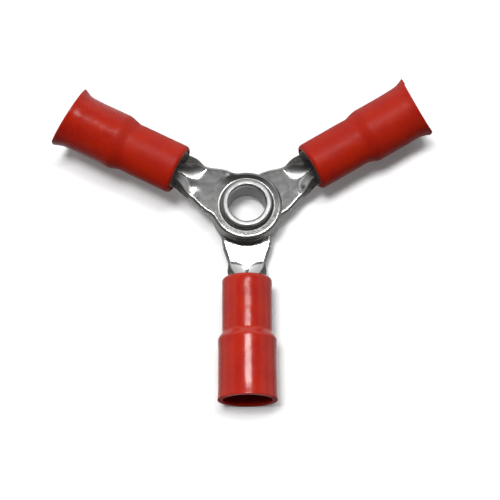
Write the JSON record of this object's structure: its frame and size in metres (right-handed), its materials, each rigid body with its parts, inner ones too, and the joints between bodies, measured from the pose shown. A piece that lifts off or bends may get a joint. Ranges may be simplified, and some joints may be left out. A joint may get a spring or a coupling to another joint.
{
  "type": "three-way splice connector",
  "caption": "Insulated ring terminals in a star, clinched together by one hollow rivet, to splice wires; red vinyl sleeves over rolled barrels.",
  "frame": {"origin": "axis of the rivet's bore, at the middle of the stack of three rings", "axes": "+Z along the rivet towards its rolled lip, the lower arm along -Y, +X to the middle arm's side"},
  "size_m": [0.0324, 0.028, 0.0068],
  "materials": {
    "rivet_tin": "bright tin plating on brass, rolled lip polished by the clinching tool",
    "tin_plate": "satin tin plating on copper sheet, sheared edges rounded",
    "red_vinyl": "semi-gloss soft vinyl"
  },
  "bodies": {
    "root": {"eyelet": "rivet_tin", "upper_terminal": "tin_plate", "middle_terminal": "tin_plate", "lower_terminal": "tin_plate", "upper_sleeve": "red_vinyl", "middle_sleeve": "red_vinyl", "lower_sleeve": "red_vinyl"}
  },
  "joints": []
}
